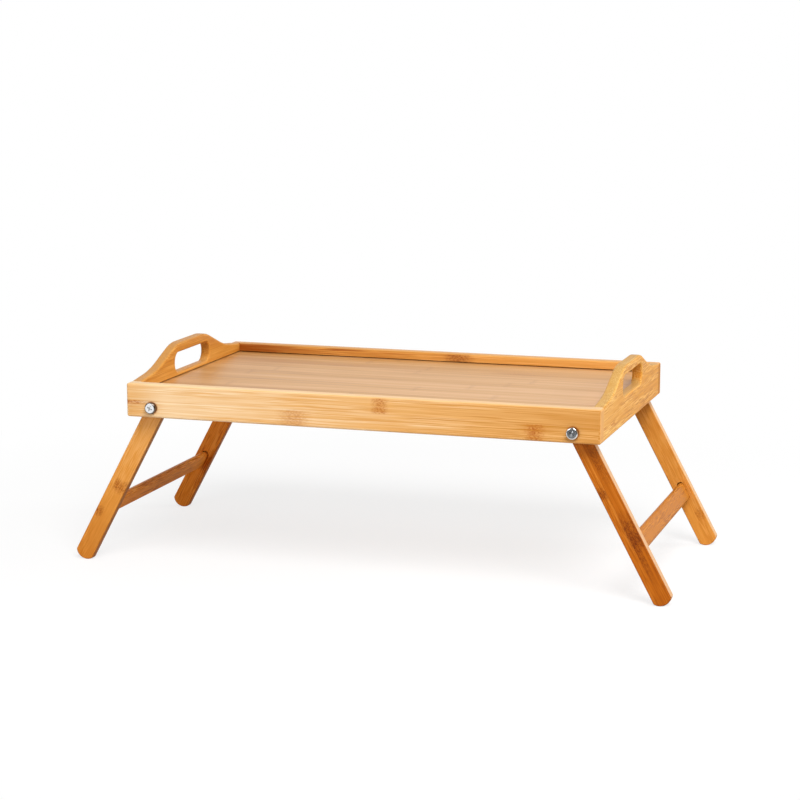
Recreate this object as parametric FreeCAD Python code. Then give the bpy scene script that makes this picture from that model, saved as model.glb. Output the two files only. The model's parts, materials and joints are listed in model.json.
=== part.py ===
"""Bamboo breakfast tray that stands on two folding leg frames.

Frame: origin on the floor under the middle of the tray, +X to the right along the tray,
+Y to the back, +Z up.  Millimetres and degrees.  The legs are modelled open.
"""
import FreeCAD, Part
import os
from math import cos, radians, sin, tan

# Tray: two long rails, two end boards between them and a panel held in their grooves
TRAY_LENGTH = 500.0         # over the end boards
TRAY_WIDTH = 300.0          # over the rails
RAIL_THICK = 13.0
END_THICK = 11.0
PANEL_THICK = 4.0
LIP_HEIGHT = 10.0           # rail top above the panel
GROOVE_DEPTH = 5.0
GROOVE_PLAY = 1.2           # shadow gap above the panel's edge
PANEL_PLAY = 0.4            # between the panel's edge and the bottom of its groove
BOARD_ROUND = 2.2           # rounded arrises of rails and end boards
STOP_ROUND = 1.0            # bottom inner arris of an end board, where the legs lean

# Handle: the end board rises from the rails to a grip over a slot
SLOT_LENGTH = 95.0
SLOT_HEIGHT = 21.0
SLOT_SILL = 4.5             # board between the panel and the slot
SLOT_ROUND = 2.5            # rounded mouths of the slot
GRIP_HEIGHT = 10.5          # board over the slot
GRIP_LENGTH = 78.0          # along the top, corner to corner before rounding
GRIP_RADIUS = 65.0          # rounding of the grip's corners
RAMP_LENGTH = 43.0          # shallow slope next to the rail
RAMP_RISE = 5.0
RAMP_RADIUS = 130.0         # hollow between the slope and the flank

# Legs and their cross bars
LEG_WIDTH = 20.0
LEG_THICK = 10.0
LEG_LENGTH = 192.4          # pivot to the tip of the foot
LEG_SPLAY = 28.2            # from upright, leaning on the end board
LEG_ROUND = 1.4
FOOT_BULGE = 5.4            # rounded tip past the leg's straight sides
FOOT_CORNER = 2.0
FOLD_GAP = 0.5              # above and below the folded leg inside the tray's underside
STOP_GAP = 0.15             # between the open leg and the end board
BAR_WIDTH = 20.0
BAR_THICK = 8.0
BAR_FROM_FOOT = 64.5        # foot tip to the middle of the bar
MORTISE_DEPTH = 6.0
MORTISE_SLACK = 1.2         # mortise longer than the bar, at its upper end
GLUE_GAP = 0.1

# Pivot hardware
BOLT_DIAMETER = 6.0
BOLT_TAIL = 2.5             # thread past the nut
THREAD_ROOT = 4.8           # bolt's diameter at the bottom of its thread
TAIL_CHAMFER = 0.6
HEAD_DIAMETER = 12.0
HEAD_HEIGHT = 4.6
HEAD_ROUND = 1.3            # rounded edge of the pan head
RECESS_LENGTH = 5.6         # arm of the cross at the head's face
RECESS_FLOOR = 2.6          # arm of the cross at the bottom
RECESS_WIDTH = 1.4
RECESS_DEPTH = 2.2
RECESS_TURN = 25.0
BOLT_HOLE_PLAY = 0.2        # on the diameter, in the rail and the washers
PIVOT_PLAY = 0.1            # on the diameter, in the leg
THREAD_PLAY = 0.05          # on the diameter, in the nut
SIDE_PLAY = 0.2             # leg to washer
WASHER_DIAMETER = 16.0
SPACER_THICK = 2.5          # washer between rail and leg
WASHER_THICK = 1.6          # washer between leg and nut
WASHER_ROUND = 0.3
NUT_ACROSS_FLATS = 10.0
NUT_HEIGHT = 5.0
NUT_CHAMFER = 30.0
COLLAR_DIAMETER = 8.8       # round collar of the lock nut
COLLAR_HEIGHT = 2.4
COLLAR_ROUND = 0.5          # rolled rim of the collar
COLLAR_LIP = 0.4            # rim's thickness over the locking ring
MOUTH_DIAMETER = 6.9        # hole in the rim
RING_DIAMETER = 7.6         # locking ring in the collar
RING_PLAY = 0.05            # on the diameter, in the collar

# Corner dowels
DOWEL_DIAMETER = 6.0
DOWEL_COVER = 4.0           # wood left between the dowel's hole and the rail's face
DOWEL_IN_END = 15.0
DOWEL_PLAY = 0.1            # on the diameter
DOWEL_END_GAP = 0.5

# A cutter runs this far past the face that it opens
CUT_PAST = 1.0

# Heights, from the folded leg, the panel and the lip stacked inside the rail
RAIL_HEIGHT = LEG_WIDTH + 2 * FOLD_GAP + PANEL_THICK + LIP_HEIGHT
PIVOT_UP = FOLD_GAP + LEG_WIDTH / 2
FOOT_RADIUS = ((LEG_WIDTH / 2) ** 2 + FOOT_BULGE**2) / (2 * FOOT_BULGE)
FOOT_CENTRE = LEG_LENGTH - FOOT_RADIUS
PIVOT_HEIGHT = FOOT_CENTRE * cos(radians(LEG_SPLAY)) + FOOT_RADIUS
TRAY_BOTTOM = PIVOT_HEIGHT - PIVOT_UP
PANEL_BOTTOM = TRAY_BOTTOM + LEG_WIDTH + 2 * FOLD_GAP
PANEL_TOP = PANEL_BOTTOM + PANEL_THICK
GROOVE_TOP = PANEL_TOP + GROOVE_PLAY
RAIL_TOP = TRAY_BOTTOM + RAIL_HEIGHT
SLOT_MIDDLE = PANEL_TOP + SLOT_SILL + SLOT_HEIGHT / 2
HANDLE_TOP = PANEL_TOP + SLOT_SILL + SLOT_HEIGHT + GRIP_HEIGHT

# Inside of the tray, between the end boards and between the rails
INSIDE_LENGTH = TRAY_LENGTH - 2 * END_THICK
INSIDE_WIDTH = TRAY_WIDTH - 2 * RAIL_THICK

# The pivot stands off the end board so that the leg's edge meets the rounded arris at the splay
STOP_REACH = LEG_WIDTH / 2 + STOP_GAP + STOP_ROUND
STOP_DROP = PIVOT_UP - STOP_ROUND
PIVOT_OFF = (STOP_REACH + STOP_DROP * sin(radians(LEG_SPLAY))) / cos(radians(LEG_SPLAY)) - STOP_ROUND
PIVOT_X = INSIDE_LENGTH / 2 - PIVOT_OFF

# Places across the tray, from its middle, along one pivot bolt
LEG_OUTER = INSIDE_WIDTH / 2 - SPACER_THICK - SIDE_PLAY
LEG_INNER = LEG_OUTER - LEG_THICK
WASHER_SEAT = LEG_INNER - SIDE_PLAY
NUT_SEAT = WASHER_SEAT - WASHER_THICK
NUT_FAR = NUT_SEAT - NUT_HEIGHT
COLLAR_END = NUT_FAR - COLLAR_HEIGHT
RING_END = COLLAR_END + COLLAR_LIP
BOLT_END = COLLAR_END - BOLT_TAIL

# Corner dowels: one beside the folded leg and one in the lip
DOWEL_X = TRAY_LENGTH / 2 - END_THICK / 2
DOWEL_IN_RAIL = RAIL_THICK - DOWEL_COVER - DOWEL_END_GAP
DOWEL_HEIGHTS = (TRAY_BOTTOM + PIVOT_UP, (GROOVE_TOP + RAIL_TOP) / 2)

NUT_SIDES = 6

LEFT, RIGHT = -1, 1
FRONT, BACK = -1, 1
SIDES = {"left": LEFT, "right": RIGHT}
FACES = {"front": FRONT, "back": BACK}

ORIGIN = FreeCAD.Vector(0, 0, 0)
X_AXIS = FreeCAD.Vector(1, 0, 0)
Y_AXIS = FreeCAD.Vector(0, 1, 0)
Z_AXIS = FreeCAD.Vector(0, 0, 1)


def line(start, end):
    return Part.LineSegment(start, end).toShape()


def arc(start, middle, end):
    return Part.Arc(start, middle, end).toShape()


def block(low, high):
    """Box between two corners."""
    size = [b - a for a, b in zip(low, high)]
    return Part.makeBox(*size, FreeCAD.Vector(*low))


def rod(diameter, start, end):
    """Round bar from one point to another."""
    start = FreeCAD.Vector(*start)
    along = FreeCAD.Vector(*end) - start
    return Part.makeCylinder(diameter / 2, along.Length, start, along)


def rounded_outline(points, radii):
    """Closed wire through the points, each corner rounded by its radius or left sharp at 0.

    An arc takes less than half of the shorter side beside it.
    """
    side_share = 0.48
    corners = []
    for i, (corner, radius) in enumerate(zip(points, radii)):
        back = points[i - 1] - corner
        on = points[(i + 1) % len(points)] - corner
        if radius == 0:
            corners.append((corner, None, corner))
            continue
        half_turn = (radians(180) - back.getAngle(on)) / 2
        reach = min(radius * tan(half_turn), side_share * min(back.Length, on.Length))
        bulge = reach / tan(half_turn) * (1 / cos(half_turn) - 1)
        back.normalize()
        on.normalize()
        inward = (back + on).normalize()
        corners.append((corner + back * reach, corner + inward * bulge, corner + on * reach))
    edges = []
    for i, (start, middle, end) in enumerate(corners):
        if middle is not None:
            edges.append(arc(start, middle, end))
        edges.append(line(end, corners[(i + 1) % len(corners)][0]))
    return Part.Wire(edges)


def stadium(length, width, middle, along, across):
    """Face with two straight sides and round ends, centred on a point."""
    side = along * ((length - width) / 2)
    out = across * (width / 2)
    tip = along * (length / 2)
    return Part.Face(
        Part.Wire(
            [
                line(middle - side + out, middle + side + out),
                arc(middle + side + out, middle + tip, middle + side - out),
                line(middle + side - out, middle - side - out),
                arc(middle - side - out, middle - tip, middle - side + out),
            ]
        )
    )


def turned(profile):
    """Solid of revolution about the Y axis, from (radius, y) points."""
    points = [FreeCAD.Vector(radius, y, 0) for radius, y in profile]
    return Part.Face(Part.makePolygon(points + points[:1])).revolve(ORIGIN, Y_AXIS, 360)


def inner_arris_cut(face_height, inward):
    """Rounding of a rail's inner top or bottom arris, from one end board to the other."""
    half_length = INSIDE_LENGTH / 2
    seam = INSIDE_WIDTH / 2
    y = seam + BOARD_ROUND
    z = face_height + inward * BOARD_ROUND
    low, high = sorted((z, face_height - inward * CUT_PAST))
    corner = block((-half_length, seam - CUT_PAST, low), (half_length, y, high))
    return corner.cut(rod(2 * BOARD_ROUND, (-half_length, y, z), (half_length, y, z)))


def rail(face):
    """Long board with the panel's groove, the pivot holes and the dowel holes."""
    half_length = TRAY_LENGTH / 2
    outer = TRAY_WIDTH / 2
    inner = INSIDE_WIDTH / 2
    board = block((-half_length, inner, TRAY_BOTTOM), (half_length, outer, RAIL_TOP))
    # Beside the end boards the rail's inner edges stay square, flush with the boards
    outside = [edge for edge in board.Edges if edge.BoundBox.YMax > outer - CUT_PAST]
    board = board.makeFillet(BOARD_ROUND, outside)
    groove_end = INSIDE_LENGTH / 2 + GROOVE_DEPTH
    cuts = [
        inner_arris_cut(RAIL_TOP, -1),
        inner_arris_cut(TRAY_BOTTOM, 1),
        block(
            (-groove_end, inner - CUT_PAST, PANEL_BOTTOM),
            (groove_end, inner + GROOVE_DEPTH, GROOVE_TOP),
        ),
    ]
    for side in SIDES.values():
        x = side * PIVOT_X
        through = ((x, inner - CUT_PAST, PIVOT_HEIGHT), (x, outer + CUT_PAST, PIVOT_HEIGHT))
        cuts.append(rod(BOLT_DIAMETER + BOLT_HOLE_PLAY, *through))
        x = side * DOWEL_X
        bottom = inner + DOWEL_IN_RAIL + DOWEL_END_GAP
        for height in DOWEL_HEIGHTS:
            cuts.append(rod(DOWEL_DIAMETER + DOWEL_PLAY, (x, inner, height), (x, bottom, height)))
    board = board.cut(cuts)
    return board if face == BACK else board.mirror(ORIGIN, Y_AXIS)


def end_board(side):
    """Short board that rises to the handle, with the slot and the panel's groove."""
    end = INSIDE_WIDTH / 2
    inner = INSIDE_LENGTH / 2
    half_outline = [
        (end, TRAY_BOTTOM, 0),
        (end, RAIL_TOP, 0),
        (end - RAMP_LENGTH, RAIL_TOP + RAMP_RISE, RAMP_RADIUS),
        (GRIP_LENGTH / 2, HANDLE_TOP, GRIP_RADIUS),
    ]
    corners = half_outline + [(-y, z, radius) for y, z, radius in reversed(half_outline)]
    points = [FreeCAD.Vector(inner, y, z) for y, z, radius in corners]
    outline = rounded_outline(points, [radius for y, z, radius in corners])
    board = Part.Face(outline).extrude(X_AXIS * END_THICK)

    # Arrises are rounded along the board, the ends stay square against the rails
    along = [edge for edge in board.Edges if edge.BoundBox.YLength > edge.BoundBox.XLength]
    low = [edge for edge in along if edge.BoundBox.ZMax < PANEL_BOTTOM]
    stop = [edge for edge in low if edge.BoundBox.XMax < inner + END_THICK / 2]
    others = [edge for edge in along if not any(edge.isSame(other) for other in stop)]
    board = board.makeFillet(BOARD_ROUND, others)
    stop = [
        edge
        for edge in board.Edges
        if edge.BoundBox.ZMax < TRAY_BOTTOM + STOP_ROUND
        and edge.BoundBox.XMax < inner + STOP_ROUND
        and edge.BoundBox.YLength > end
    ]
    board = board.makeFillet(STOP_ROUND, stop)

    slot_start = FreeCAD.Vector(inner - CUT_PAST, 0, SLOT_MIDDLE)
    slot = stadium(SLOT_LENGTH, SLOT_HEIGHT, slot_start, Y_AXIS, Z_AXIS)
    board = board.cut(slot.extrude(X_AXIS * (END_THICK + 2 * CUT_PAST)))
    slot_room = FreeCAD.BoundBox(
        inner - CUT_PAST,
        -SLOT_LENGTH / 2 - CUT_PAST,
        SLOT_MIDDLE - SLOT_HEIGHT / 2 - CUT_PAST,
        inner + END_THICK + CUT_PAST,
        SLOT_LENGTH / 2 + CUT_PAST,
        SLOT_MIDDLE + SLOT_HEIGHT / 2 + CUT_PAST,
    )
    slot_edges = [edge for edge in board.Edges if slot_room.isInside(edge.BoundBox)]
    mouths = [edge for edge in slot_edges if edge.BoundBox.XLength < END_THICK / 2]
    board = board.makeFillet(SLOT_ROUND, mouths)

    cuts = [
        block(
            (inner - CUT_PAST, -end - CUT_PAST, PANEL_BOTTOM),
            (inner + GROOVE_DEPTH, end + CUT_PAST, GROOVE_TOP),
        )
    ]
    bottom = end - DOWEL_IN_END - DOWEL_END_GAP
    for face in FACES.values():
        for height in DOWEL_HEIGHTS:
            hole = ((DOWEL_X, face * bottom, height), (DOWEL_X, face * end, height))
            cuts.append(rod(DOWEL_DIAMETER + DOWEL_PLAY, *hole))
    board = board.cut(cuts)
    return board if side == RIGHT else board.mirror(ORIGIN, X_AXIS)


def panel():
    """Thin floor panel, loose in its grooves on all four sides."""
    half_length = INSIDE_LENGTH / 2 + GROOVE_DEPTH - PANEL_PLAY
    half_width = INSIDE_WIDTH / 2 + GROOVE_DEPTH - PANEL_PLAY
    return block((-half_length, -half_width, PANEL_BOTTOM), (half_length, half_width, PANEL_TOP))


def corner_dowels(side, face):
    """The two round dowels that join one end board to one rail."""
    seam = INSIDE_WIDTH / 2
    x = side * DOWEL_X
    in_end = face * (seam - DOWEL_IN_END)
    in_rail = face * (seam + DOWEL_IN_RAIL)
    return Part.makeCompound(
        [rod(DOWEL_DIAMETER, (x, in_end, z), (x, in_rail, z)) for z in DOWEL_HEIGHTS]
    )


def leaned(shape, side):
    """Turns a piece drawn straight down from the pivot to the open leg's place."""
    placed = shape.copy()
    placed.rotate(ORIGIN, Y_AXIS, -side * LEG_SPLAY)
    placed.translate(FreeCAD.Vector(side * PIVOT_X, 0, PIVOT_HEIGHT))
    return placed


def bar_section(start, end, slack, gap):
    """Length of cross bar under the pivot, or the hole for it with slack at its upper end."""
    middle = FreeCAD.Vector(0, start, BAR_FROM_FOOT - LEG_LENGTH + slack / 2)
    section = stadium(BAR_WIDTH + slack + gap, BAR_THICK + gap, middle, Z_AXIS, X_AXIS)
    return section.extrude(Y_AXIS * (end - start))


def leg(side, face):
    """Flat leg: round top about the pivot, rounded foot, bore for the bolt, blind mortise."""
    half = LEG_WIDTH / 2
    ankle = FOOT_BULGE - LEG_LENGTH
    pivot = FreeCAD.Vector(0, LEG_INNER, 0)
    top_left = pivot - X_AXIS * half
    top_right = pivot + X_AXIS * half
    low_left = top_left + Z_AXIS * ankle
    low_right = top_right + Z_AXIS * ankle
    outline = Part.Wire(
        [
            arc(top_left, pivot + Z_AXIS * half, top_right),
            line(top_right, low_right),
            arc(low_right, pivot - Z_AXIS * LEG_LENGTH, low_left),
            line(low_left, top_left),
        ]
    )
    body = Part.Face(outline).extrude(Y_AXIS * LEG_THICK)
    across = [edge for edge in body.Edges if edge.BoundBox.YLength > LEG_THICK / 2]
    body = body.makeFillet(FOOT_CORNER, [edge for edge in across if edge.BoundBox.ZMax < ankle / 2])
    body = body.makeFillet(
        LEG_ROUND, [edge for edge in body.Edges if edge.BoundBox.YLength < LEG_THICK / 2]
    )
    bore_ends = ((0, LEG_INNER - CUT_PAST, 0), (0, LEG_OUTER + CUT_PAST, 0))
    bore = rod(BOLT_DIAMETER + PIVOT_PLAY, *bore_ends)
    mortise = bar_section(LEG_INNER - CUT_PAST, LEG_INNER + MORTISE_DEPTH, MORTISE_SLACK, GLUE_GAP)
    body = leaned(body.cut([bore, mortise]), side)
    return body if face == BACK else body.mirror(ORIGIN, Y_AXIS)


def cross_bar(side):
    """Flat bar with round edges, let into the mortises of both legs."""
    end = LEG_INNER + MORTISE_DEPTH - GLUE_GAP
    return leaned(bar_section(-end, end, 0, 0), side)


def at_pivot(shape, side, face):
    """Puts a piece drawn about the Y axis onto one of the four pivots."""
    placed = shape.copy()
    placed.translate(FreeCAD.Vector(side * PIVOT_X, 0, PIVOT_HEIGHT))
    return placed if face == BACK else placed.mirror(ORIGIN, Y_AXIS)


def pivot_bolt(side, face):
    """Pan head screw through the rail, with a cross recess in its head."""
    seat = TRAY_WIDTH / 2
    crown = seat + HEAD_HEIGHT
    head = rod(HEAD_DIAMETER, (0, seat, 0), (0, crown, 0))
    head = head.makeFillet(HEAD_ROUND, [edge for edge in head.Edges if edge.BoundBox.YMin > seat])
    arm_outline = [
        FreeCAD.Vector(x, y, -RECESS_WIDTH / 2)
        for x, y in (
            (-RECESS_LENGTH / 2, crown),
            (RECESS_LENGTH / 2, crown),
            (RECESS_FLOOR / 2, crown - RECESS_DEPTH),
            (-RECESS_FLOOR / 2, crown - RECESS_DEPTH),
            (-RECESS_LENGTH / 2, crown),
        )
    ]
    arm = Part.Face(Part.makePolygon(arm_outline)).extrude(Z_AXIS * RECESS_WIDTH)
    for turn in (RECESS_TURN, RECESS_TURN + 90):
        turned_arm = arm.copy()
        turned_arm.rotate(ORIGIN, Y_AXIS, turn)
        head = head.cut(turned_arm)
    # Past the nut the bolt is drawn at the bottom of its thread
    shaft = BOLT_DIAMETER / 2
    root = THREAD_ROOT / 2
    shank = turned(
        [
            (0, BOLT_END),
            (root - TAIL_CHAMFER, BOLT_END),
            (root, BOLT_END + TAIL_CHAMFER),
            (root, COLLAR_END),
            (shaft, COLLAR_END),
            (shaft, seat),
            (0, seat),
        ]
    )
    return at_pivot(head.fuse(shank), side, face)


def washer(seat, thick, side, face):
    """Flat ring on the bolt, with its outer face at the seat."""
    ends = ((0, seat - thick, 0), (0, seat, 0))
    disc = rod(WASHER_DIAMETER, *ends)
    disc = disc.makeFillet(WASHER_ROUND, [edge for edge in disc.Edges if edge.Closed])
    return at_pivot(disc.cut(rod(BOLT_DIAMETER + BOLT_HOLE_PLAY, *ends)), side, face)


def lock_nut(side, face):
    """Hexagon nut with chamfered corners and a round collar over its locking ring."""
    flat = NUT_ACROSS_FLATS / 2
    step = radians(360 / NUT_SIDES)
    corner = flat / cos(step / 2)
    hexagon = []
    for i in range(NUT_SIDES + 1):
        hexagon.append(FreeCAD.Vector(corner * cos(step * i), NUT_SEAT, corner * sin(step * i)))
    body = Part.Face(Part.makePolygon(hexagon)).extrude(Y_AXIS * -NUT_HEIGHT)
    drop = (corner - flat) * tan(radians(NUT_CHAMFER))
    bounds = turned(
        [
            (0, NUT_SEAT),
            (flat, NUT_SEAT),
            (corner, NUT_SEAT - drop),
            (corner, NUT_FAR + drop),
            (flat, NUT_FAR),
            (0, NUT_FAR),
        ]
    )
    collar = rod(COLLAR_DIAMETER, (0, NUT_FAR, 0), (0, COLLAR_END, 0))
    rim = [edge for edge in collar.Edges if edge.Closed and edge.BoundBox.YMax < NUT_FAR - COLLAR_LIP]
    collar = collar.makeFillet(COLLAR_ROUND, rim)
    cuts = [
        rod(BOLT_DIAMETER + THREAD_PLAY, (0, NUT_FAR, 0), (0, NUT_SEAT, 0)),
        rod(RING_DIAMETER + RING_PLAY, (0, RING_END, 0), (0, NUT_FAR, 0)),
        rod(MOUTH_DIAMETER, (0, COLLAR_END, 0), (0, RING_END, 0)),
    ]
    return at_pivot(body.common(bounds).fuse(collar).cut(cuts), side, face)


def locking_ring(side, face):
    """Ring in the nut's collar that grips the bolt's thread."""
    ends = ((0, RING_END, 0), (0, NUT_FAR, 0))
    ring = rod(RING_DIAMETER, *ends).cut(rod(BOLT_DIAMETER + THREAD_PLAY, *ends))
    return at_pivot(ring, side, face)


def build():
    """Every piece of the tray, by name."""
    pieces = {
        "front_rail": rail(FRONT),
        "back_rail": rail(BACK),
        "left_end_board": end_board(LEFT),
        "right_end_board": end_board(RIGHT),
        "tray_panel": panel(),
    }
    for side_name, side in SIDES.items():
        pieces[f"{side_name}_cross_bar"] = cross_bar(side)
        for face_name, face in FACES.items():
            corner = f"{face_name}_{side_name}"
            pieces[f"{side_name}_{face_name}_leg"] = leg(side, face)
            pieces[f"{corner}_pivot_bolt"] = pivot_bolt(side, face)
            pieces[f"{corner}_spacer_washer"] = washer(INSIDE_WIDTH / 2, SPACER_THICK, side, face)
            pieces[f"{corner}_inner_washer"] = washer(WASHER_SEAT, WASHER_THICK, side, face)
            pieces[f"{corner}_lock_nut"] = lock_nut(side, face)
            pieces[f"{corner}_locking_ring"] = locking_ring(side, face)
            pieces[f"{corner}_corner_dowels"] = corner_dowels(side, face)
    return pieces


os.makedirs("parts", exist_ok=True)
for name, shape in build().items():
    shape.exportStep(f"parts/{name}.step")
print(f"pivots at x {PIVOT_X:.3f}, z {PIVOT_HEIGHT:.3f}; the legs fold by {90 + LEG_SPLAY:.2f} degrees")
print(f"tray bottom {TRAY_BOTTOM:.3f}, panel {PANEL_BOTTOM:.3f} to {PANEL_TOP:.3f}")
print(f"rail top {RAIL_TOP:.3f}, slot middle {SLOT_MIDDLE:.3f}, handle top {HANDLE_TOP:.3f}")
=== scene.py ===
"""Looks of the bamboo breakfast tray: finishes of every piece, bolt threads, floor, light, camera.

Metres, in the part's own frame: +X along the tray, +Y to the back, +Z up.  Patterns are drawn in
millimetres.
"""
import json
from math import cos, pi, radians, sin

import bmesh
import bpy
from mathutils import Matrix, Vector


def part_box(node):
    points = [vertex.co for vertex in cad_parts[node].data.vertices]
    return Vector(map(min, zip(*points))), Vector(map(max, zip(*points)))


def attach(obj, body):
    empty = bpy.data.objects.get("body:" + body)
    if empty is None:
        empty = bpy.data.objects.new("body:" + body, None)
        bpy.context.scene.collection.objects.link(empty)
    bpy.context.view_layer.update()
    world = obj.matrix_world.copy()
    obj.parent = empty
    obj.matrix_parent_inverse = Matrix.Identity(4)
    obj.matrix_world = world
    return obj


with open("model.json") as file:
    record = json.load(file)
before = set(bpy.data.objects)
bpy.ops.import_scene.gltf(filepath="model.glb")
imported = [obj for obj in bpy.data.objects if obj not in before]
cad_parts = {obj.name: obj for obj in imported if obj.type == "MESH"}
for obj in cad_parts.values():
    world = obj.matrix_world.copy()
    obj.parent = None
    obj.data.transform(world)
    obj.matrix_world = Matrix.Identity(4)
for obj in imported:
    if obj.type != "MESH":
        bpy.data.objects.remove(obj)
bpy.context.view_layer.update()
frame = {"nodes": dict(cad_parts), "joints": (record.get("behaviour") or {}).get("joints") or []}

MM = 1000.0                 # millimetres in a metre
SIDES = {"left": -1, "right": 1}
FACES = {"front": -1, "back": 1}
X_AXIS = Vector((1, 0, 0))
Y_AXIS = Vector((0, 1, 0))
Z_AXIS = Vector((0, 0, 1))

# Camera at the photograph's angle, aimed just above the tray's underside: degrees and metres
CAMERA_AZIMUTH = 17.66
CAMERA_ELEVATION = 10.27
CAMERA_DISTANCE = 2.333
CAMERA_AIM = Vector((-0.0014, 0.0005, 0.1653))
CAMERA_SENSOR = 36.0        # millimetres, and so is the lens
CAMERA_LENS = 98.6
TO_CAMERA = Vector((sin(radians(CAMERA_AZIMUTH)), -cos(radians(CAMERA_AZIMUTH)), 0))

# Bamboo, millimetres: sizes along the grain, across it and through it
STREAK = (130.0, 2.6, 2.6)
FIBRE = (55.0, 0.7, 0.7)    # all fibres are drawn as coarse as they need to show
LEG_FIBRE = (16.0, 0.8, 0.8)
END_FIBRE = (24.0, 0.7, 0.7)
PANEL_STREAK = (220.0, 6.0, 6.0)
PANEL_FIBRE = (110.0, 1.3, 1.3)
PATCH = (90.0, 7.0, 7.0)    # where the fibres show more, or less
KNOT_FLECK = (2.4, 0.8, 0.8)

# Bamboo, millimetres: single lengths
STRIP_SHIFT = 700.0         # each strip takes its grain from a place up to this far away
GLUE_LINE = 0.35            # a glue line fades out this far from its seam
KNOT_WAVE = 5.0             # size of the waves in a knot's outline
KNOT_WOBBLE = 4.0           # how far the outline wanders
KNOT_REACH = 5.0            # half length of the knots in a row
PORE = 0.9                  # dark bundle seen on the end grain
FIBRE_RELIEF = 0.12

# Bamboo, shares
NOISE_LOW, NOISE_HIGH = 0.3, 0.7        # most of a noise pattern lies between these
HAIR_LOW, HAIR_HIGH = 0.4, 0.6          # closer, so that fibres stand out
PATCH_LOW, PATCH_HIGH = 0.35, 0.65
HAIRS_LEAST, HAIRS_MOST = 0.2, 1.3      # how much the fibres show, from patch to patch
FLECK_LOW, FLECK_HIGH = 0.45, 0.58      # closest, so that flecks have sharp rims
FLECK_GROUND = 0.08                     # brown that lies between the flecks of a knot
KNOT_CORE = (0.1, 0.8, 0.9)             # part of a knot at full strength, in each direction
KNOT_TINT = 0.5                         # dark tone under the flecks
ROW_KNOT = 0.35                         # strength of the knots in a row
CUT_LOW, CUT_HIGH = 0.45, 0.95          # how squarely a cut end looks along the grain
FACE_LOW, FACE_HIGH = 0.5, 0.85         # how squarely a toned face looks its own way
PORE_RIM, PORE_CORE = 0.6, 0.2          # distance from a pore's middle, in pores
PORE_GROUND = 0.5                       # brown that lies between the pores

# Satin lacquer: roughness from fibre to fibre, and what a dry cut end adds to it
LACQUER_SMOOTH, LACQUER_ROUGH = 0.36, 0.48
DRY_END = 0.5

# Bolt heads, millimetres: painted shadow on the rail round them, and painted shade on their walls
HEAD_RADIUS = 6.0
HEAD_SHADOW_REACH = 1.4             # painted shadow on the rail reaches this far round a head
HEAD_SHADOW_SHARE = 0.85
WALL_SHADE_FADE = 0.8             # painted shade on a head's wall fades out over this length
WALL_SHADE_SHARE = 0.9
LOW_WALL_SHADE = (5.2, 2.8)       # radius past which the painted shade lies on the head, and its height above the rail
HIGH_WALL_SHADE = (4.7, 5.0)

# Zinc, millimetres and roughness
TURNED_RING = 0.5
RING_RELIEF = 0.02
ZINC_CLOUD = 2.5
ZINC_SWING = 0.05           # change of roughness from cloud to cloud

# Nylon, millimetres
NYLON_GRIT = 0.4
NYLON_RELIEF = 0.05

# Bolt thread, millimetres
THREAD_CREST = 6.0
THREAD_ROOT = 4.8
THREAD_PITCH = 1.0
THREAD_FLAT = 0.14          # width of the crest
THREAD_SUNK = 0.05          # foot of the ridge inside the bolt
TAIL_CHAMFER = 0.6
STEPS_PER_TURN = 32

# Colours
WHITE = "#FFFFFF"
PALE_ZINC = "#EDEFF1"
# brown of the painted shade on the walls of bolt heads
WALL_SHADE_BROWN = "#4A3828"
NYLON_TONES = ("#DAD5C4", "#EFEBDF")
PAPER_BOUNCE = "#CFC6BA"    # warmer and darker than white, in the light that the paper throws back


def linear(colour):
    """An sRGB hex colour as linear red, green, blue and full alpha."""
    shares = [int(colour[i : i + 2], 16) / 255 for i in (1, 3, 5)]
    return [s / 12.92 if s <= 0.04045 else ((s + 0.055) / 1.055) ** 2.4 for s in shares] + [1.0]


def add(tree, kind, inputs=None, **settings):
    """Adds a node with its settings, values and links, and gives its outputs.

    Inputs go by name or by number.  Map Range takes its value as 0, the range that it comes from as
    1 and 2 and the range that it goes to as 3 and 4.  Mix takes its share as 0, with colours as 6
    and 7 and the mixed colour as output 2, or with numbers as 2 and 3.
    """
    made = tree.nodes.new("ShaderNode" + kind)
    for name, value in settings.items():
        setattr(made, name, value)
    for key, value in (inputs or {}).items():
        if isinstance(value, bpy.types.NodeSocket):
            tree.links.new(value, made.inputs[key])
        else:
            made.inputs[key].default_value = value
    return made.outputs


def new_material(name):
    """Material with no nodes yet."""
    material = bpy.data.materials.new(name)
    material.use_nodes = True
    material.node_tree.nodes.clear()
    return material


def knot_flecks(tree, grain):
    """Short flecks along the grain, as they fill a knot."""
    fleck_grain = add(tree, "Mapping", {0: grain, "Scale": [1 / size for size in KNOT_FLECK]})[0]
    fleck = add(
        tree, "TexNoise", {"Vector": fleck_grain, "Scale": 1.0, "Detail": 2.0, "Distortion": 0.6}
    )[0]
    return add(
        tree,
        "MapRange",
        {0: fleck, 1: FLECK_LOW, 2: FLECK_HIGH, 3: FLECK_GROUND, 4: 1.0},
        interpolation_type="SMOOTHSTEP",
    )[0]


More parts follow.
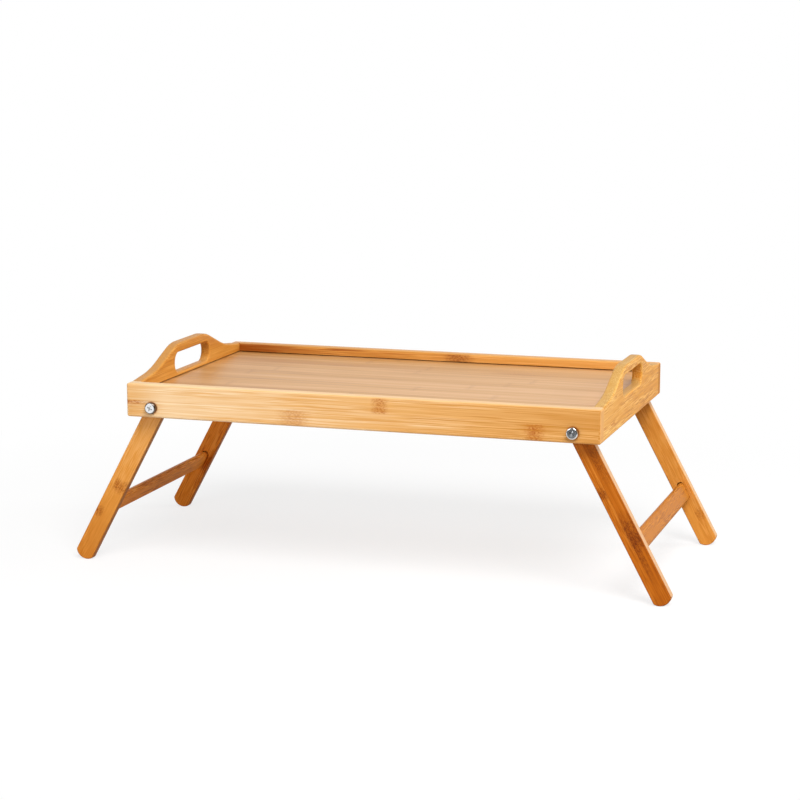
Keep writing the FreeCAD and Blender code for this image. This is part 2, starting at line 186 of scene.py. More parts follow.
def with_knots(tree, colour, grain, flecks, knots, dark, brown):
    """Colour with knots: each is a darker band across a strip with brown flecks in it."""
    wave = add(tree, "TexNoise", {"Vector": grain, "Scale": 1 / KNOT_WAVE, "Detail": 2.0})[1]
    wave = add(tree, "VectorMath", {0: wave, 1: (0.5, 0.5, 0.5)}, operation="SUBTRACT")[0]
    wobbled = add(
        tree,
        "VectorMath",
        {0: wave, 1: (2 * KNOT_WOBBLE, 0, 0), 2: grain},
        operation="MULTIPLY_ADD",
    )[0]
    for knot_middle, half_size, strength in knots:
        offset = add(tree, "VectorMath", {0: wobbled, 1: knot_middle}, operation="SUBTRACT")[0]
        offset = add(tree, "VectorMath", {0: offset, 1: half_size}, operation="DIVIDE")[0]
        offset = add(tree, "VectorMath", {0: offset}, operation="ABSOLUTE")[0]
        sides = add(tree, "SeparateXYZ", {0: offset})
        band = add(
            tree,
            "MapRange",
            {0: sides[0], 1: 1.0, 2: KNOT_CORE[0], 4: strength},
            interpolation_type="SMOOTHSTEP",
        )[0]
        width = add(tree, "MapRange", {0: sides[1], 1: 1.0, 2: KNOT_CORE[1]})[0]
        depth = add(tree, "MapRange", {0: sides[2], 1: 1.0, 2: KNOT_CORE[2]})[0]
        knot = add(tree, "Math", {0: band, 1: width}, operation="MULTIPLY")[0]
        knot = add(tree, "Math", {0: knot, 1: depth}, operation="MULTIPLY")[0]
        tint = add(tree, "Math", {0: knot, 1: KNOT_TINT}, operation="MULTIPLY")[0]
        knot = add(tree, "Math", {0: knot, 1: flecks}, operation="MULTIPLY")[0]
        colour = add(tree, "Mix", {0: tint, 6: colour, 7: dark}, data_type="RGBA")[2]
        colour = add(tree, "Mix", {0: knot, 6: colour, 7: brown}, data_type="RGBA")[2]
    return colour


def with_knot_rows(tree, colour, own_grain, flecks, pitch, brown):
    """Colour with faint knots in a row along every strip, in each strip's own places."""
    along = add(tree, "SeparateXYZ", {0: own_grain})[0]
    from_knot = add(tree, "Math", {0: along, 1: 1 / pitch}, operation="MULTIPLY")[0]
    from_knot = add(tree, "Math", {0: from_knot}, operation="FRACT")[0]
    from_knot = add(tree, "Math", {0: from_knot, 1: 0.5}, operation="SUBTRACT")[0]
    from_knot = add(tree, "Math", {0: from_knot}, operation="ABSOLUTE")[0]
    knot = add(tree, "MapRange", {0: from_knot, 1: KNOT_REACH / pitch, 2: 0.0, 4: ROW_KNOT})[0]
    knot = add(tree, "Math", {0: knot, 1: flecks}, operation="MULTIPLY")[0]
    return add(tree, "Mix", {0: knot, 6: colour, 7: brown}, data_type="RGBA")[2]


def with_cut_ends(tree, colour, grain, normal, along, end_grain, brown):
    """Colour with dark pores on faces cut across the grain, and how dry those faces are."""
    facing = add(tree, "VectorMath", {0: normal, 1: along}, operation="DOT_PRODUCT")["Value"]
    facing = add(tree, "Math", {0: facing}, operation="ABSOLUTE")[0]
    cut_end = add(tree, "MapRange", {0: facing, 1: CUT_LOW, 2: CUT_HIGH, 4: end_grain})[0]
    dryness = add(tree, "MapRange", {0: facing, 1: CUT_LOW, 2: CUT_HIGH, 4: DRY_END})[0]
    pore = add(tree, "TexVoronoi", {"Vector": grain, "Scale": 1 / PORE})["Distance"]
    pores = add(tree, "MapRange", {0: pore, 1: PORE_RIM, 2: PORE_CORE, 3: PORE_GROUND, 4: 1.0})[0]
    pores = add(tree, "Math", {0: pores, 1: cut_end}, operation="MULTIPLY")[0]
    colour = add(tree, "Mix", {0: pores, 6: colour, 7: brown}, data_type="RGBA")[2]
    return colour, dryness


def with_toned_face(tree, colour, normal, outward, finish):
    """Colour with a tone of its own, a colour and its share, on faces that look outward: used for
    painted light, painted shade and the cut ends' own tone.
    """
    face_colour, share = finish
    facing = add(tree, "VectorMath", {0: normal, 1: outward}, operation="DOT_PRODUCT")["Value"]
    toned = add(tree, "MapRange", {0: facing, 1: FACE_LOW, 2: FACE_HIGH, 4: share})[0]
    return add(
        tree, "Mix", {0: toned, 6: colour, 7: linear(face_colour)}, data_type="RGBA"
    )[2]


def with_painted_head_shadows(tree, colour, parts, bolts, brown):
    """Colour with painted shadow: a dark ring on the rail round each bolt head."""
    flat = add(tree, "CombineXYZ", {0: parts[0], 1: parts[1]})[0]
    for place_along, place_across in bolts:
        head = (place_along, place_across, 0)
        away = add(tree, "VectorMath", {0: flat, 1: head}, operation="DISTANCE")["Value"]
        head_shadow = add(
            tree, "MapRange", {0: away, 1: HEAD_RADIUS + HEAD_SHADOW_REACH, 2: HEAD_RADIUS, 4: HEAD_SHADOW_SHARE}
        )[0]
        colour = add(tree, "Mix", {0: head_shadow, 6: colour, 7: brown}, data_type="RGBA")[2]
    return colour


def bamboo(
    name, along, across, start, *, strip, layer, tones, seed,
    seam=0.0, level=0.5, drift=0.0, shades=(), step=0.0, spread=0.2,
    streak_size=STREAK, fibre_size=FIBRE, contrast=0.08, fine=0.19, glue=0.22,
    knots=(), knot_pitch=None, end_grain=0.4, edge=None, under=None, tip=None, bolts=(), shine=0.3,
):
    """Laminated bamboo under satin clear lacquer.

    Strips lie side by side and in layers, each with its own tone.  To the eye that gives long
    streaks and hair-thin fibres along the grain, faint glue lines, and here and there a knot: a
    short band of brown flecks across one strip.  Cut ends show dark pores and are matt, because
    they drink the lacquer.  Elsewhere it adds a soft shine that whitens the surface at a low angle.

    The grain's own axes begin at start and run along, across and, through the layers, square to
    both.  Lengths are in millimetres: strip and layer are a strip's width and thickness, and seam
    is the place of one glue line.

    The tone runs from 0, dark, to 1, pale: level is its mean, drift its change in a metre along the
    grain, step its change from one strip to the next and spread its chance part.  A shade is a
    place along the grain, its reach and its change of tone, on the layers that lie past start; on
    the back rail and the panel it is painted shade.  contrast and fine are the swing of the streaks
    and of the fibres, and glue the strength of the glue lines.

    A knot is its middle, its half size along, across and through, and its strength.  knot_pitch is
    the distance of faint knots in a row on every strip, and end_grain the strength of the pores.
    edge, under and tip are a colour and its share on the faces that look across the grain, the
    opposite way and along it: edge is a painted light tone on tops and outer sides, under a painted
    shade, and tip the cut ends' own tone.  bolts are places along and across the grain that carry a
    bolt head, with a painted shadow round it.  shine is the lacquer's specular level.
    """
    pale, middle, dark, brown = (linear(tone) for tone in tones)
    material = new_material(name)
    tree = material.node_tree
    coordinates = add(tree, "TexCoord")
    turn = Matrix((along, across, along.cross(across)))
    grain = add(
        tree,
        "Mapping",
        {
            "Vector": coordinates["Object"],
            "Location": -(turn @ start),
            "Rotation": turn.to_euler(),
            "Scale": (MM, MM, MM),
        },
    )[0]
    parts = add(tree, "SeparateXYZ", {0: grain})

    # Which strip a point lies in, and that strip's own chance values
    strips = add(tree, "MapRange", {0: parts[1], 1: seam, 2: seam + strip}, clamp=False)[0]
    layers = add(tree, "MapRange", {0: parts[2], 1: 0.0, 2: layer}, clamp=False)[0]
    row = add(tree, "Math", {0: strips}, operation="FLOOR")[0]
    sheet = add(tree, "Math", {0: layers}, operation="FLOOR")[0]
    place = add(tree, "CombineXYZ", {0: row, 1: sheet, 2: seed})[0]
    chance = add(tree, "TexWhiteNoise", {"Vector": place}, noise_dimensions="3D")
    own_grain = add(
        tree,
        "VectorMath",
        {0: chance["Color"], 1: (STRIP_SHIFT,) * 3, 2: grain},
        operation="MULTIPLY_ADD",
    )[0]

    # Long streaks and fine fibres, both drawn out along the grain, and patches of bolder fibres
    noises = []
    for sizes, detail in ((streak_size, 2.0), (fibre_size, 1.0), (PATCH, 1.0)):
        drawn_out = add(tree, "Mapping", {0: own_grain, "Scale": [1 / size for size in sizes]})[0]
        noises.append(
            add(tree, "TexNoise", {"Vector": drawn_out, "Scale": 1.0, "Detail": detail})[0]
        )
    streak, fibre, patch = noises
    swing = add(
        tree,
        "MapRange",
        {0: streak, 1: NOISE_LOW, 2: NOISE_HIGH, 3: -contrast, 4: contrast},
        clamp=False,
    )[0]
    hairs = add(
        tree,
        "MapRange",
        {0: fibre, 1: HAIR_LOW, 2: HAIR_HIGH, 3: -fine, 4: fine},
        interpolation_type="SMOOTHSTEP",
    )[0]
    showing = add(
        tree, "MapRange", {0: patch, 1: PATCH_LOW, 2: PATCH_HIGH, 3: HAIRS_LEAST, 4: HAIRS_MOST}
    )[0]

    # Tone: the strip's own, the drift along the board, the shades, the streaks and the fibres
    tone = add(
        tree, "MapRange", {0: chance["Value"], 3: level - spread / 2, 4: level + spread / 2}
    )[0]
    tone = add(tree, "Math", {0: row, 1: step, 2: tone}, operation="MULTIPLY_ADD")[0]
    tone = add(tree, "Math", {0: parts[0], 1: drift / MM, 2: tone}, operation="MULTIPLY_ADD")[0]
    past_start = add(tree, "Math", {0: sheet, 1: 1.0}, operation="ADD", use_clamp=True)[0]
    for shade_middle, reach, change in shades:
        away = add(tree, "Math", {0: parts[0], 1: shade_middle}, operation="SUBTRACT")[0]
        away = add(tree, "Math", {0: away}, operation="ABSOLUTE")[0]
        shade = add(
            tree,
            "MapRange",
            {0: away, 2: reach, 3: change, 4: 0.0},
            interpolation_type="SMOOTHSTEP",
        )[0]
        tone = add(tree, "Math", {0: shade, 1: past_start, 2: tone}, operation="MULTIPLY_ADD")[0]
    tone = add(tree, "Math", {0: tone, 1: swing}, operation="ADD")[0]
    tone = add(
        tree, "Math", {0: hairs, 1: showing, 2: tone}, operation="MULTIPLY_ADD", use_clamp=True
    )[0]
    low_share = add(tree, "MapRange", {0: tone, 2: 0.5})[0]
    high_share = add(tree, "MapRange", {0: tone, 1: 0.5})[0]
    low_tone = add(tree, "Mix", {0: low_share, 6: dark, 7: middle}, data_type="RGBA")[2]
    colour = add(tree, "Mix", {0: high_share, 6: low_tone, 7: pale}, data_type="RGBA")[2]

    # Glue lines: half a strip away from a strip's middle
    away = add(tree, "Math", {0: strips}, operation="FRACT")[0]
    away = add(tree, "Math", {0: away, 1: 0.5}, operation="SUBTRACT")[0]
    away = add(tree, "Math", {0: away}, operation="ABSOLUTE")[0]
    line = add(tree, "MapRange", {0: away, 1: 0.5 - GLUE_LINE / strip, 2: 0.5, 4: glue})[0]
    colour = add(tree, "Mix", {0: line, 6: colour, 7: brown}, data_type="RGBA")[2]

    flecks = knot_flecks(tree, grain)
    colour = with_knots(tree, colour, grain, flecks, knots, dark, brown)
    if knot_pitch:
        colour = with_knot_rows(tree, colour, own_grain, flecks, knot_pitch, brown)
    normal = coordinates["Normal"]
    colour, dryness = with_cut_ends(tree, colour, grain, normal, along, end_grain, brown)
    # Painted light on faces that look across the grain, painted shade on those that look the other
    # way, and the cut ends' own tone
    for finish, outward in ((edge, across), (under, -across), (tip, along)):
        if finish:
            colour = with_toned_face(tree, colour, normal, outward, finish)
    # Painted shadow round the bolt heads
    colour = with_painted_head_shadows(tree, colour, parts, bolts, brown)

    relief = add(
        tree, "Bump", {"Height": fibre, "Strength": 0.2, "Distance": FIBRE_RELIEF / MM}
    )[0]
    lacquer = add(
        tree,
        "MapRange",
        {0: fibre, 1: NOISE_LOW, 2: NOISE_HIGH, 3: LACQUER_SMOOTH, 4: LACQUER_ROUGH},
    )[0]
    roughness = add(tree, "Math", {0: lacquer, 1: dryness}, operation="ADD")[0]
    shader = add(
        tree,
        "BsdfPrincipled",
        {
            "Base Color": colour,
            "Roughness": roughness,
            "IOR": 1.5,
            "Specular IOR Level": shine,
            "Normal": relief,
        },
    )[0]
    add(tree, "OutputMaterial", {0: shader})
    return material


def bright_zinc(name, colour, roughness, painted_wall_shade=None):
    """Bright zinc on turned steel: a cool mirror-like skin with faint rings about the bolt.

    A painted brown shade darkens the wall of a bolt head, for its shadow and the dark rail that it
    reflects: the last argument is the radius past which the shade lies on the head and the height
    above the rail where it ends, in millimetres.
    """
    material = new_material(name)
    tree = material.node_tree
    coordinates = add(tree, "TexCoord")["Object"]

    # The four bolts mirror each other, so each is measured as if it were on the right
    pivot = frame["joints"][1]["pos_m"]
    folded = add(tree, "VectorMath", {0: coordinates}, operation="ABSOLUTE")[0]
    offset = add(tree, "VectorMath", {0: folded, 1: pivot}, operation="SUBTRACT")[0]
    offset = add(tree, "VectorMath", {0: offset, 1: (MM, 0, MM)}, operation="MULTIPLY")[0]
    radius = add(tree, "VectorMath", {0: offset}, operation="LENGTH")["Value"]
    rings = add(tree, "Math", {0: radius, 1: 1 / TURNED_RING}, operation="MULTIPLY")[0]
    rings = add(
        tree, "TexNoise", {"W": rings, "Scale": 1.0, "Detail": 1.0}, noise_dimensions="1D"
    )[0]
    relief = add(
        tree, "Bump", {"Height": rings, "Strength": 0.05, "Distance": RING_RELIEF / MM}
    )[0]
    cloud = add(
        tree, "TexNoise", {"Vector": coordinates, "Scale": MM / ZINC_CLOUD, "Detail": 3.0}
    )[0]
    skin = add(
        tree,
        "MapRange",
        {0: cloud, 1: NOISE_LOW, 2: NOISE_HIGH, 3: roughness, 4: roughness + ZINC_SWING},
    )[0]
    tint = add(
        tree, "Mix", {0: cloud, 6: linear(colour), 7: linear(PALE_ZINC)}, data_type="RGBA"
    )[2]
    # Painted shade on the head's wall near the rail, for its shadow and the dark wood it reflects
    if painted_wall_shade:
        clear_radius, shade_top = painted_wall_shade
        rail_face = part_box("front_rail")[0].y * MM
        depth = add(tree, "SeparateXYZ", {0: folded})[1]
        height = add(tree, "Math", {0: depth, 1: MM, 2: rail_face}, operation="MULTIPLY_ADD")[0]
        low = add(
            tree,
            "MapRange",
            {0: height, 1: shade_top, 2: shade_top + WALL_SHADE_FADE, 3: WALL_SHADE_SHARE, 4: 0.0},
        )[0]
        wall = add(
            tree, "MapRange", {0: radius, 1: clear_radius, 2: clear_radius + WALL_SHADE_FADE / 2}
        )[0]
        share = add(tree, "Math", {0: low, 1: wall}, operation="MULTIPLY")[0]
        tint = add(tree, "Mix", {0: share, 6: tint, 7: linear(WALL_SHADE_BROWN)}, data_type="RGBA")[2]
    shader = add(
        tree,
        "BsdfPrincipled",
        {"Base Color": tint, "Metallic": 1.0, "Roughness": skin, "Normal": relief},
    )[0]
    add(tree, "OutputMaterial", {0: shader})
    return material


def natural_nylon(name):
    """Moulded natural nylon: milky off-white, slightly waxy, with a very fine moulded grain."""
    dull, milky = (linear(tone) for tone in NYLON_TONES)
    material = new_material(name)
    tree = material.node_tree
    coordinates = add(tree, "TexCoord")["Object"]
    grain = add(
        tree, "TexNoise", {"Vector": coordinates, "Scale": MM / NYLON_GRIT, "Detail": 2.0}
    )[0]
    tint = add(tree, "Mix", {0: grain, 6: dull, 7: milky}, data_type="RGBA")[2]
    relief = add(
        tree, "Bump", {"Height": grain, "Strength": 0.1, "Distance": NYLON_RELIEF / MM}
    )[0]
    shader = add(
        tree,
        "BsdfPrincipled",
        {
            "Base Color": tint,
            "Roughness": 0.48,
            "IOR": 1.53,
            "Subsurface Weight": 0.15,
            "Subsurface Radius": (0.002, 0.002, 0.0018),
            "Normal": relief,
        },
    )[0]
    add(tree, "OutputMaterial", {0: shader})
    return material


def dress(node, material):
    """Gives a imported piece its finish."""
    slots = frame["nodes"][node].data.materials
    slots.clear()
    slots.append(material)


def middle_of(node):
    """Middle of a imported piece, in millimetres."""
    low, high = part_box(node)
    return (low + high) / 2 * MM


# Tones of the bamboo: pale, middle, dark streak and brown of knots, glue and pores
PALE_TONES = ("#F1D3A9", "#DFA863", "#BF791D", "#AE5A14")
BACK_TONES = ("#E8AA5E", "#CE8C3C", "#9A4E10", "#84400E")
LEFT_END_TONES = ("#E8B05C", "#D28E38", "#B2681C", "#84460F")
RIGHT_END_TONES = ("#F6C878", "#DE9A38", "#B87020", "#A0521A")
PANEL_TONES = ("#DAAA78", "#CA9656", "#B07434", "#8A5430")
OCHRE_TONES = ("#EAB06A", "#D8903C", "#BC6E1E", "#8C4410")
RUSSET_TONES = ("#CE7E2C", "#B6620F", "#8C4208", "#662A08")
SHADED_TONES = ("#EC9438", "#DA7A18", "#B85C0C", "#8C420C")
RIGHT_BAR_TONES = ("#CE8634", "#BA7222", "#9C5816", "#7C4016")
LEFT_BAR_TONES = ("#F0A048", "#DE8626", "#BC6410", "#8A4814")

# Strips of the bamboo, millimetres wide
RAIL_STRIP = 17.5           # half a rail's height
END_STRIP = 20.0
PANEL_STRIP = 25.0
LEG_STRIP = 20.0            # a leg's width
BAR_STRIP = 24.0            # wider than a bar
DOWEL_STRIP = 30.0          # one for each dowel of a pair


def dress_rails():
    """Long rails: two strips high, two layers thick, the front one paler towards its left end."""
    layer = 6.5
    outer = layer / 2
    deep = outer + 1
    half = RAIL_STRIP / 2
    bolts = []
    for joint in frame["joints"]:
        place = Vector(joint["pos_m"]) * MM - middle_of("front_rail")
        bolts.append((place.x, place.z))
    # Front rail: the edge tone is a painted highlight on its top
    front = bamboo(
        "lacquered_bamboo_front_rail", X_AXIS, Z_AXIS, middle_of("front_rail"),
        strip=RAIL_STRIP, layer=layer, tones=PALE_TONES, seed=3.0,
        level=0.56, drift=-1.4, shades=[(-250, 50, -0.35)], spread=0.06, end_grain=0.05,
        edge=("#F6D8A4", 0.5), tip=("#E8B272", 0.8), bolts=bolts,
        knots=[
            ((-66, -half, outer), (22, half, deep), 0.42),
            ((25, half, outer), (11, half, deep), 0.65),
            ((184, -half, outer), (13, half, deep), 0.85),
            ((-246, -2, outer), (26, 2.2, deep), 0.85),
            ((120, half, -outer), (9, half, deep), 0.6),
        ],
    )
    dress("front_rail", front)
    # Back rail: darker towards its left end, with painted shade on the inner face in the corner by
    # the left end board; the edge tone is a painted highlight on its top
    back = bamboo(
        "lacquered_bamboo_back_rail", X_AXIS, Z_AXIS, middle_of("back_rail"),
        strip=RAIL_STRIP, layer=layer, tones=BACK_TONES, seed=8.0,
        level=0.575, drift=0.95, shades=[(-240, 120, -0.28)], contrast=0.12, fine=0.24,
        end_grain=0.6, shine=0.2, edge=("#E6AE68", 0.6), bolts=bolts,
        knots=[
            ((23, half, outer), (22, half, deep), 0.75),
            ((-150, half, -outer), (9, half, deep), 0.6),
            ((110, -half, -outer), (10, half, deep), 0.6),
        ],
    )
    dress("back_rail", back)


def dress_end_boards():
    """End boards with the grain across the tray, and strips from the lower edge to the handle."""
    layer = 5.5
    # edge: a painted light tone on the faces of the end boards that look up
    looks = {
        "left_end_board": {
            "tones": LEFT_END_TONES, "seed": 21.0, "shine": 0.12, "edge": ("#BE8A4D", 0.6),
            "end_grain": 0.8,
            "knots": [((60, 12.5, 0), (8, 10, layer), 0.5)],
        },
        "right_end_board": {
            "tones": RIGHT_END_TONES, "seed": 22.0, "shine": 0.05, "edge": ("#B6925A", 0.6),
            "end_grain": 0.65, "level": 0.56, "drift": -0.9, "contrast": 0.1, "fine": 0.28,
            "fibre_size": END_FIBRE,
            "knots": [((-38, -7.5, 0), (9, 10, layer), 0.7), ((-93, 2.5, 0), (7, 4, layer), 0.7)],
        },
    }
    for node in looks:
        low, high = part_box(node)
        start = Vector(((low.x + high.x) / 2, 0, low.z)) * MM + Z_AXIS * RAIL_STRIP
        skin = bamboo(
            "lacquered_bamboo_" + node, Y_AXIS, Z_AXIS, start,
            strip=END_STRIP, layer=layer, seam=END_STRIP - RAIL_STRIP, **looks[node],
        )
        dress(node, skin)


def dress_panel():
    """Floor panel of broad strips along the tray, in a single layer."""
    layer = 10.0            # thicker than the panel
    start = middle_of("tray_panel") - Z_AXIS * layer / 2
    # Panel: the shade near the left end board is painted shade and a painted reflection of that
    # board
    skin = bamboo(
        "lacquered_bamboo_tray_panel", X_AXIS, Y_AXIS, start,
        strip=PANEL_STRIP, layer=layer, tones=PANEL_TONES, seed=40.0,
        level=0.52, drift=0.45, shades=[(-200, 110, -0.16)], spread=0.45,
        streak_size=PANEL_STREAK, fibre_size=PANEL_FIBRE,
        contrast=0.2, fine=0.24, glue=0.16, shine=0.55, knot_pitch=290.0,
    )
    dress("tray_panel", skin)


def dress_leg_frames():
    """Legs and cross bars, with the grain along each piece."""
    leg_layer = 12.0                # two layers, that meet in the middle of a leg
    bar_layer = 24.0                # the same for a bar
    edge_seam = 1.5 * LEG_STRIP     # seams on a leg's edges and none between them
    through = 8.0                   # a knot this deep goes through a leg or a bar
    looks = {
        "left_front_leg": {
            "tones": OCHRE_TONES, "seam": edge_seam, "level": 0.9, "drift": -3.6,
            "contrast": 0.06, "fine": 0.16,
            "knots": [((100, -3, 0), (10, 8, through), 0.75), ((136, 6, 0), (9, 5, through), 0.85)],
        },
        "left_back_leg": {
            "tones": SHADED_TONES, "seam": edge_seam, "level": 0.54, "contrast": 0.14, "fine": 0.32,
            "knots": [((70, 0, 0), (7, 10, through), 0.5)],
        },
        "right_front_leg": {
            "tones": RUSSET_TONES, "seam": -1.5, "level": 0.53, "step": -0.15, "drift": -1.0,
            "contrast": 0.16, "fine": 0.18,
            "knots": [
                ((68, -6, 0), (9, 4.5, through), 0.7), ((122, 4, 0), (12, 5.5, through), 0.8),
                ((36, 5, 0), (34, 5.5, through), 0.5), ((130, 1, 0), (48, 3.5, through), 0.6),
                ((114, 3, 0), (28, 7, through), 0.6),
            ],
        },
        "right_back_leg": {
            "tones": OCHRE_TONES, "seam": edge_seam, "level": 0.46, "contrast": 0.06, "fine": 0.15,
            "knots": [((158, 5, 0), (10, 5, through), 0.45)],
        },
    }
    bar_looks = {
        # Left bar: two strips, the lower one darker: a painted highlight on its upper half and
        # painted shade on its lower half
        "left": {"tones": LEFT_BAR_TONES, "strip": BAR_STRIP / 2, "level": 0.4, "step": -0.25},
        "right": {"tones": RIGHT_BAR_TONES, "strip": BAR_STRIP, "seam": -BAR_STRIP / 2},
    }
    for (side_name, side), joint in zip(SIDES.items(), frame["joints"]):
        splay = radians(joint["range_deg"][1] - 90)
        pivot = Vector(joint["pos_m"]) * MM
        down = Vector((side * sin(splay), 0, -cos(splay)))
        out = Vector((side * cos(splay), 0, sin(splay)))
        for face_name, face in FACES.items():
            node = f"{side_name}_{face_name}_leg"
            start = Vector((pivot.x, middle_of(node).y, pivot.z))
            # edge: painted highlight on the outer narrow sides of the legs; under: painted shade on
            # their inner narrow sides
            skin = bamboo(
                "lacquered_bamboo_" + node, down, out, start,
                strip=LEG_STRIP, layer=leg_layer, seed=60.0 + side * 3 + face, spread=0.1,
                fibre_size=LEG_FIBRE, edge=("#E2BC8E", 0.7), under=("#84480F", 0.5), shine=0.12,
                **looks[node],
            )
            dress(node, skin)
        node = f"{side_name}_cross_bar"
        skin = bamboo(
            "lacquered_bamboo_" + node, Y_AXIS, down, middle_of(node),
            layer=bar_layer, seed=80.0 + side, spread=0.1, fibre_size=LEG_FIBRE, fine=0.36,
            knots=[((-11, 0, 0), (9, 13, through), 0.2)], shine=0.08, **bar_looks[side_name],
        )
        dress(node, skin)


def bolt_thread(corner, skin):
    """Thread that shows on a bolt's tail past its nut: one ridge wound round the tail."""
    bolt_low, bolt_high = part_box(corner + "_pivot_bolt")
    nut_low, nut_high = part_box(corner + "_lock_nut")
    at_front = bolt_low.y < 0
    low, high = (nut_high.y, bolt_high.y) if at_front else (bolt_low.y, nut_low.y)
    tip = high if at_front else low
    crest = THREAD_CREST / 2 / MM
    root = THREAD_ROOT / 2 / MM
    foot = root - THREAD_SUNK / MM
    pitch = THREAD_PITCH / MM
    flat = THREAD_FLAT / MM

    form = bmesh.new()
    outline = ((foot, -pitch / 2), (crest, -flat / 2), (crest, flat / 2), (foot, pitch / 2))
    corners = [form.verts.new((radius, low + pitch / 2 + y, 0)) for radius, y in outline]
    sides = [form.edges.new(pair) for pair in zip(corners, corners[1:] + corners[:1])]
    turns = (high - low) / pitch - 1
    steps = round(turns * STEPS_PER_TURN)
    bmesh.ops.spin(
        form, geom=corners + sides, cent=(0, 0, 0), axis=Y_AXIS,
        dvec=Y_AXIS * turns * pitch / steps, angle=2 * pi * turns, steps=steps, use_duplicate=False,
    )
    bmesh.ops.holes_fill(form, edges=form.edges, sides=len(corners))

    # The chamfer at the bolt's tip trims the ridge
    for point in form.verts:
        radius = Vector((point.co.x, point.co.z)).length
        room = max(foot, root + abs(tip - point.co.y) - TAIL_CHAMFER / MM)
        if radius > room:
            point.co.x *= room / radius
            point.co.z *= room / radius
    bmesh.ops.recalc_face_normals(form, faces=form.faces)
    place = (bolt_low + bolt_high) / 2
    bmesh.ops.translate(form, verts=form.verts, vec=(place.x, 0, place.z))

    mesh = bpy.data.meshes.new(corner + "_bolt_thread")
    form.to_mesh(mesh)
    form.free()
    mesh.materials.append(skin)
    thread = bpy.data.objects.new(corner + "_bolt_thread", mesh)
    bpy.context.scene.collection.objects.link(thread)
    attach(thread, "tray")


def dress_hardware():
    """Bolts with their threads, washers, nuts, locking rings and dowels."""
    bolt_skin = bright_zinc(
        "bright_zinc_plated_steel_bolt", colour="#D8DCE0", roughness=0.07, painted_wall_shade=LOW_WALL_SHADE
    )
    # Front left bolt: a paler copy of the zinc, a painted highlight on its crown, with a wider
    # painted shade on its head
    lit_and_shaded_bolt_skin = bright_zinc(
        "zinc_plated_steel_bolt_with_painted_light_and_shade", colour="#F4F5F6", roughness=0.07, painted_wall_shade=HIGH_WALL_SHADE
    )
    nut_skin = bright_zinc("zinc_plated_steel_nut", colour="#BCC0C4", roughness=0.2)
    spacer_skin = natural_nylon("natural_nylon_spacer")
    for face_name, face in FACES.items():
        for side_name in SIDES:
            corner = f"{face_name}_{side_name}"
            dress(corner + "_pivot_bolt", lit_and_shaded_bolt_skin if corner == "front_left" else bolt_skin)
            dress(corner + "_lock_nut", nut_skin)
            dress(corner + "_inner_washer", nut_skin)
            dress(corner + "_spacer_washer", spacer_skin)
            dress(corner + "_locking_ring", spacer_skin)
            bolt_thread(corner, bolt_skin)
            node = corner + "_corner_dowels"
            dowel_skin = bamboo(
                "turned_bamboo_" + node, Y_AXIS, Z_AXIS, middle_of(node),
                strip=DOWEL_STRIP, layer=DOWEL_STRIP, tones=PALE_TONES, seed=90.0 + face, shine=0.2,
            )
            dress(node, dowel_skin)


# Paper sweep that ends just below the picture, metres from the tray's middle
SWEEP_FRONT = 0.88
SWEEP_REACH = 3.0
SHADE_REACH = 0.3           # it is shaded up to here
SWEEP_WHITE = 0.85          # from here on it is plain white
SEEN_WHITE = 0.75           # share of plain white in the shaded part, as the camera sees it
MIRRORED_WHITE = 0.2        # the same in reflections

# Surround: light on the tray, and in reflections from the room before it to the backdrop behind
SURROUND_LIGHT = 0.3
ROOM_LIGHT = 0.12
BACKDROP_LIGHT = 1.0
ROOM_EDGE, BACKDROP_EDGE = -0.35, 0.25      # share of a direction that points away from the camera

# Softboxes: place, aim and size in metres, power in watts
SOFTBOXES = {
    "key_softbox": ((1.0, -1.6, 2.2), (0, 0, 0.15), 1.4, 74.0),
    "fill_softbox": ((-1.1, -2.3, 0.75), (-0.1, 0, 0.15), 1.0, 14.0),
    "rim_softbox": ((2.0, 0.9, 0.9), (0, 0, 0.15), 1.0, 18.0),
}


def mirror_ray(tree, path):
    """1 where a ray comes by way of a mirror or through glass, and 0 elsewhere."""
    return add(
        tree,
        "Math",
        {0: path["Is Glossy Ray"], 1: path["Is Transmission Ray"]},
        operation="MAXIMUM",
    )[0]


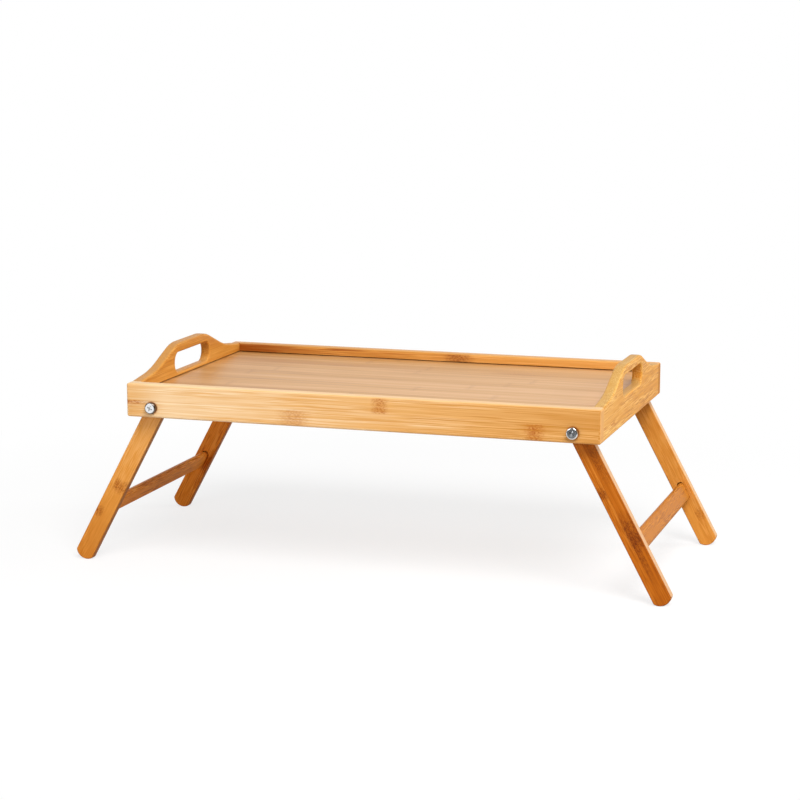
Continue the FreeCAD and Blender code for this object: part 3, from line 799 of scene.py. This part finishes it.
def make_sweep():
    """Matt white paper under the tray: white to the camera, with a soft shadow near the feet."""
    across = TO_CAMERA.cross(Z_AXIS)
    form = bmesh.new()
    # Anticlockwise from above, so that the face points up
    for along, side in ((SWEEP_FRONT, 1), (SWEEP_FRONT, -1), (-SWEEP_REACH, -1), (-SWEEP_REACH, 1)):
        form.verts.new(TO_CAMERA * along + across * side * SWEEP_REACH)
    form.faces.new(form.verts)
    mesh = bpy.data.meshes.new("paper_sweep")
    form.to_mesh(mesh)
    form.free()
    sweep = bpy.data.objects.new("paper_sweep", mesh)
    bpy.context.scene.collection.objects.link(sweep)

    material = new_material("matt_white_paper")
    tree = material.node_tree
    path = add(tree, "LightPath")
    place = add(tree, "TexCoord")["Object"]
    away = add(tree, "VectorMath", {0: place}, operation="LENGTH")["Value"]
    open_share = add(
        tree, "MapRange", {0: away, 1: SHADE_REACH, 2: SWEEP_WHITE}, interpolation_type="SMOOTHSTEP"
    )[0]
    seen_share = add(tree, "MapRange", {0: open_share, 3: SEEN_WHITE, 4: 1.0})[0]
    mirrored_share = add(tree, "MapRange", {0: open_share, 3: MIRRORED_WHITE, 4: 1.0})[0]
    seen = add(tree, "Math", {0: path["Is Camera Ray"], 1: seen_share}, operation="MULTIPLY")[0]
    seen = add(
        tree,
        "Math",
        {0: mirror_ray(tree, path), 1: mirrored_share, 2: seen},
        operation="MULTIPLY_ADD",
    )[0]
    tint = add(
        tree,
        "Mix",
        {0: path["Is Camera Ray"], 6: linear(PAPER_BOUNCE), 7: linear(WHITE)},
        data_type="RGBA",
    )[2]
    paper = add(tree, "BsdfDiffuse", {"Color": tint})[0]
    white = add(tree, "Emission", {"Color": linear(WHITE), "Strength": 1.0})[0]
    surface = add(tree, "MixShader", {0: seen, 1: paper, 2: white})[0]

    # From below the camera sees through the paper
    back = add(tree, "NewGeometry")["Backfacing"]
    hidden = add(tree, "Math", {0: back, 1: path["Is Camera Ray"]}, operation="MULTIPLY")[0]
    clear = add(tree, "BsdfTransparent")[0]
    surface = add(tree, "MixShader", {0: hidden, 1: surface, 2: clear})[0]
    add(tree, "OutputMaterial", {0: surface})
    mesh.materials.append(material)


def make_world():
    """Pale surround: white to the camera, and in reflections white behind and dim in front."""
    world = bpy.data.worlds.new("studio_surround")
    bpy.context.scene.world = world
    world.use_nodes = True
    tree = world.node_tree
    tree.nodes.clear()
    path = add(tree, "LightPath")
    towards = add(tree, "TexCoord")["Generated"]
    behind = add(tree, "VectorMath", {0: towards, 1: -TO_CAMERA}, operation="DOT_PRODUCT")["Value"]
    mirrored = add(
        tree,
        "MapRange",
        {0: behind, 1: ROOM_EDGE, 2: BACKDROP_EDGE, 3: ROOM_LIGHT, 4: BACKDROP_LIGHT},
    )[0]
    strength = add(
        tree, "Mix", {0: mirror_ray(tree, path), 2: SURROUND_LIGHT, 3: mirrored}, data_type="FLOAT"
    )[0]
    strength = add(
        tree, "Mix", {0: path["Is Camera Ray"], 2: strength, 3: 1.0}, data_type="FLOAT"
    )[0]
    surround = add(tree, "Background", {"Color": linear(WHITE), "Strength": strength})[0]
    add(tree, "OutputWorld", {0: surround})


def make_softbox(name, place, aim, size, power):
    """Square softbox that points at a place."""
    lamp = bpy.data.lights.new(name, "AREA")
    lamp.size = size
    lamp.energy = power
    lamp_object = bpy.data.objects.new(name, lamp)
    lamp_object.location = place
    lamp_object.rotation_euler = (Vector(aim) - Vector(place)).to_track_quat("-Z", "Y").to_euler()
    bpy.context.scene.collection.objects.link(lamp_object)


def make_camera():
    """Camera that looks at its aim from the photograph's side and height."""
    azimuth = radians(CAMERA_AZIMUTH)
    elevation = radians(CAMERA_ELEVATION)
    back = TO_CAMERA * cos(elevation) + Z_AXIS * sin(elevation)
    camera = bpy.data.cameras.new("photograph_camera")
    camera.sensor_width = CAMERA_SENSOR
    camera.lens = CAMERA_LENS
    camera_object = bpy.data.objects.new("photograph_camera", camera)
    camera_object.location = CAMERA_AIM + back * CAMERA_DISTANCE
    camera_object.rotation_euler = (radians(90) - elevation, 0, azimuth)
    bpy.context.scene.collection.objects.link(camera_object)
    bpy.context.scene.camera = camera_object


dress_rails()
dress_end_boards()
dress_panel()
dress_leg_frames()
dress_hardware()
make_sweep()
make_world()
for softbox, settings in SOFTBOXES.items():
    make_softbox(softbox, *settings)
make_camera()
bpy.context.scene.view_settings.view_transform = "Standard"
